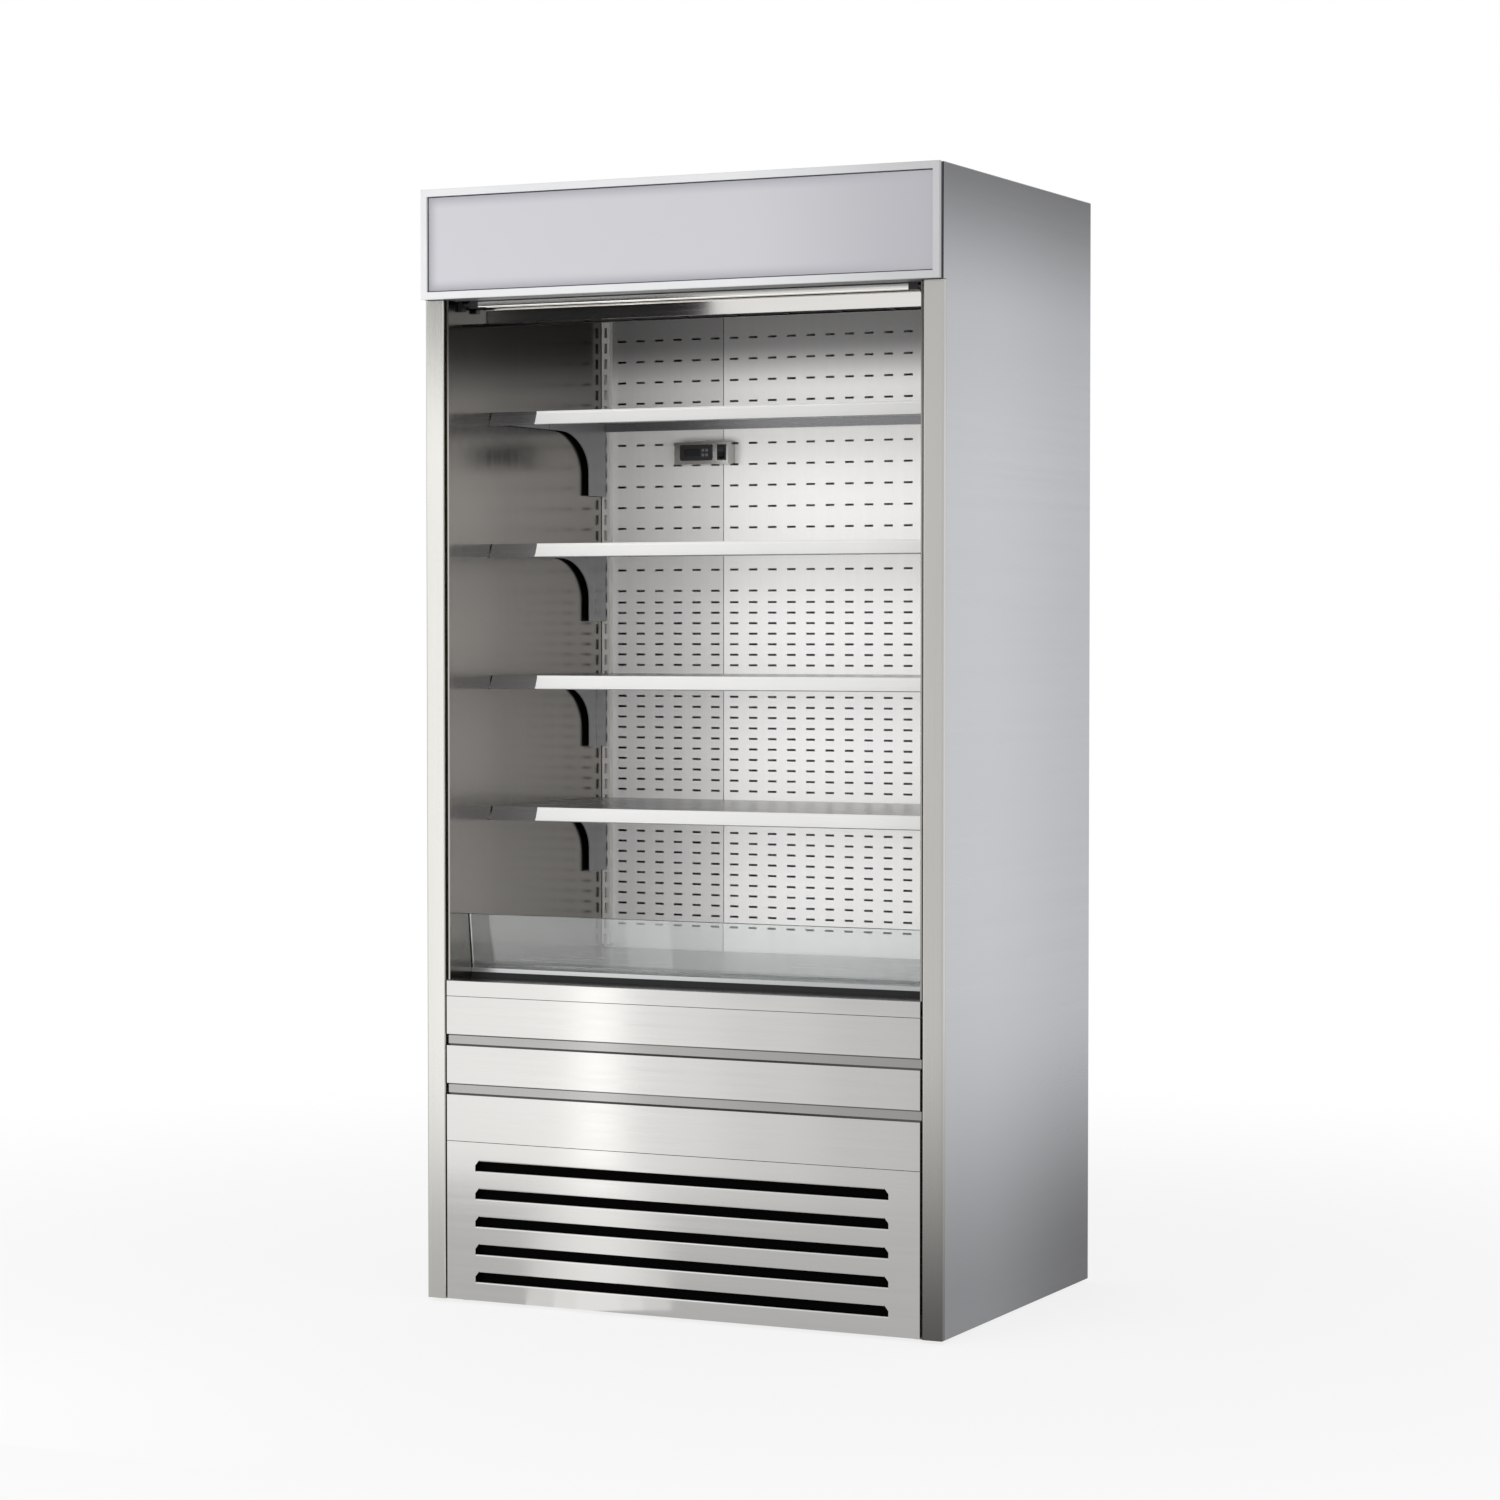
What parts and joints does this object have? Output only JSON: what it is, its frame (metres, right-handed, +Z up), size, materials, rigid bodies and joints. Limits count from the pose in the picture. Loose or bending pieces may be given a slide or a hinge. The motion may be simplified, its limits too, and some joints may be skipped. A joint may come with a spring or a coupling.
{
  "type": "open multideck display fridge",
  "caption": "Free-standing open-front display fridge with lit header, tilting shelves, night curtain, glass riser and louvred base",
  "frame": {"origin": "On the floor, under the middle of the overall box", "axes": "+Z up, -Y towards the shopper, +X to the shopper's right"},
  "size_m": [1.006, 0.719, 1.997],
  "materials": {
    "brushed_stainless": "vertical brushed grain",
    "polished_stainless": "bright rolled, vertical grain",
    "bright_panel_steel": "fine brushed grain",
    "galvanised_steel": "galvanised",
    "white_painted_steel": "satin",
    "grey_painted_steel": "satin powder coat",
    "black_painted_steel": "satin",
    "anodised_aluminium": "satin anodised",
    "fin_aluminium": "mill finish",
    "copper_pipe": "drawn copper",
    "clear_glass": "clear float glass",
    "sign_acrylic": "translucent, satin",
    "light_strip": "opal",
    "ticket_plastic": "satin white",
    "black_plastic": "moulded",
    "white_plastic": "moulded",
    "grey_plastic": "moulded",
    "foam": "rigid polyurethane foam",
    "curtain_fabric": "woven, aluminised",
    "foot_rubber": "moulded"
  },
  "bodies": {
    "cabinet": {"base_frame": "galvanised_steel", "levelling_feet": "foot_rubber", "side_skins": "brushed_stainless", "front_trims": "brushed_stainless", "insulation": "foam", "rear_covers": "galvanised_steel", "top_cover": "galvanised_steel", "rear_and_roof_liner": "galvanised_steel", "side_liners": "polished_stainless", "machine_tray": "galvanised_steel", "evaporator_tub": "galvanised_steel", "intake_grille": "brushed_stainless", "rear_duct_panels": "bright_panel_steel", "ceiling_liner": "polished_stainless", "shelf_uprights": "polished_stainless", "front_fascia": "brushed_stainless", "cap_rail": "brushed_stainless", "glass_clamp": "anodised_aluminium", "glass_riser": "clear_glass", "header_frame": "white_painted_steel", "header_sign_panel": "sign_acrylic", "header_light_box": "grey_painted_steel", "header_light_strips": "light_strip", "canopy_band": "brushed_stainless", "discharge_honeycomb": "black_plastic", "curtain_brackets": "black_plastic", "controller_housing": "brushed_stainless", "controller": "black_plastic", "evaporator_coil": "fin_aluminium", "evaporator_fan_plate": "galvanised_steel", "fan_motors": "black_painted_steel", "condenser_coil": "fin_aluminium", "condenser_fan_shroud": "galvanised_steel", "compressor": "black_painted_steel", "refrigerant_pipes": "copper_pipe", "drain_and_condensate_tray": "grey_plastic", "electrical_box_and_gland": "grey_plastic"},
    "bottom_deck": {"bottom_deck": "polished_stainless"},
    "louvre_panel": {"louvre_panel": "brushed_stainless"},
    "curtain_roller": {"curtain_roller": "anodised_aluminium", "rolled_curtain": "curtain_fabric"},
    "curtain_bar": {"curtain_bar": "anodised_aluminium", "curtain_bar_ends": "black_plastic", "curtain_cloth": "curtain_fabric"},
    "evaporator_fan_left": {"evaporator_fan_left": "fin_aluminium"},
    "evaporator_fan_right": {"evaporator_fan_right": "fin_aluminium"},
    "condenser_fan": {"condenser_fan": "fin_aluminium"},
    "switch_rocker": {"switch_rocker": "black_plastic"},
    "shelf_1": {"shelf_1_deck": "polished_stainless", "shelf_1_brackets": "polished_stainless", "shelf_1_ticket_strip": "ticket_plastic"},
    "shelf_2": {"shelf_2_deck": "polished_stainless", "shelf_2_brackets": "polished_stainless", "shelf_2_ticket_strip": "ticket_plastic"},
    "shelf_3": {"shelf_3_deck": "polished_stainless", "shelf_3_brackets": "polished_stainless", "shelf_3_ticket_strip": "ticket_plastic"},
    "shelf_4": {"shelf_4_deck": "polished_stainless", "shelf_4_brackets": "polished_stainless", "shelf_4_ticket_strip": "ticket_plastic"}
  },
  "joints": [
    {"name": "shelf_1_tilt", "type": "hinge", "parent": "cabinet", "child": "shelf_1", "pos_m": [0, 0.2515, 0.8738], "axis": [-1, 0, 0], "range_deg": [0, 12]},
    {"name": "shelf_2_tilt", "type": "hinge", "parent": "cabinet", "child": "shelf_2", "pos_m": [0, 0.2515, 1.1138], "axis": [-1, 0, 0], "range_deg": [0, 12]},
    {"name": "shelf_3_tilt", "type": "hinge", "parent": "cabinet", "child": "shelf_3", "pos_m": [0, 0.2515, 1.3538], "axis": [-1, 0, 0], "range_deg": [0, 12]},
    {"name": "shelf_4_tilt", "type": "hinge", "parent": "cabinet", "child": "shelf_4", "pos_m": [0, 0.2515, 1.5938], "axis": [-1, 0, 0], "range_deg": [0, 12]},
    {"name": "bottom_deck_lift", "type": "slide", "parent": "cabinet", "child": "bottom_deck", "axis": [0, 0, 1], "range_m": [0, 0.1]},
    {"name": "louvre_panel_pull", "type": "slide", "parent": "cabinet", "child": "louvre_panel", "axis": [0, -1, 0], "range_m": [0, 0.15]},
    {"name": "curtain_pull", "type": "slide", "parent": "cabinet", "child": "curtain_bar", "axis": [0, 0, -1], "range_m": [0, 1.19], "stiffness_N_per_m": 20, "springref_m": -0.5, "deforming": ["curtain_cloth"]},
    {"name": "curtain_roller_turn", "type": "hinge", "parent": "cabinet", "child": "curtain_roller", "pos_m": [0, -0.2725, 1.841], "axis": [1, 0, 0], "range_deg": [0, 3410]},
    {"name": "evaporator_fan_left_spin", "type": "hinge", "parent": "cabinet", "child": "evaporator_fan_left", "pos_m": [-0.215, -0.1195, 0.4605], "axis": [0, 1, 0], "continuous": true},
    {"name": "evaporator_fan_right_spin", "type": "hinge", "parent": "cabinet", "child": "evaporator_fan_right", "pos_m": [0.215, -0.1195, 0.4605], "axis": [0, 1, 0], "continuous": true},
    {"name": "condenser_fan_spin", "type": "hinge", "parent": "cabinet", "child": "condenser_fan", "pos_m": [0.235, -0.2025, 0.1475], "axis": [0, 1, 0], "continuous": true},
    {"name": "switch_rocker_tip", "type": "hinge", "parent": "cabinet", "child": "switch_rocker", "pos_m": [-0.191, 0.2335, 1.548], "axis": [1, 0, 0], "range_deg": [0, 14]}
  ],
  "couplings": [
    {"joint": "curtain_roller_turn", "follows": "curtain_pull", "rad_per_m": 50}
  ]
}
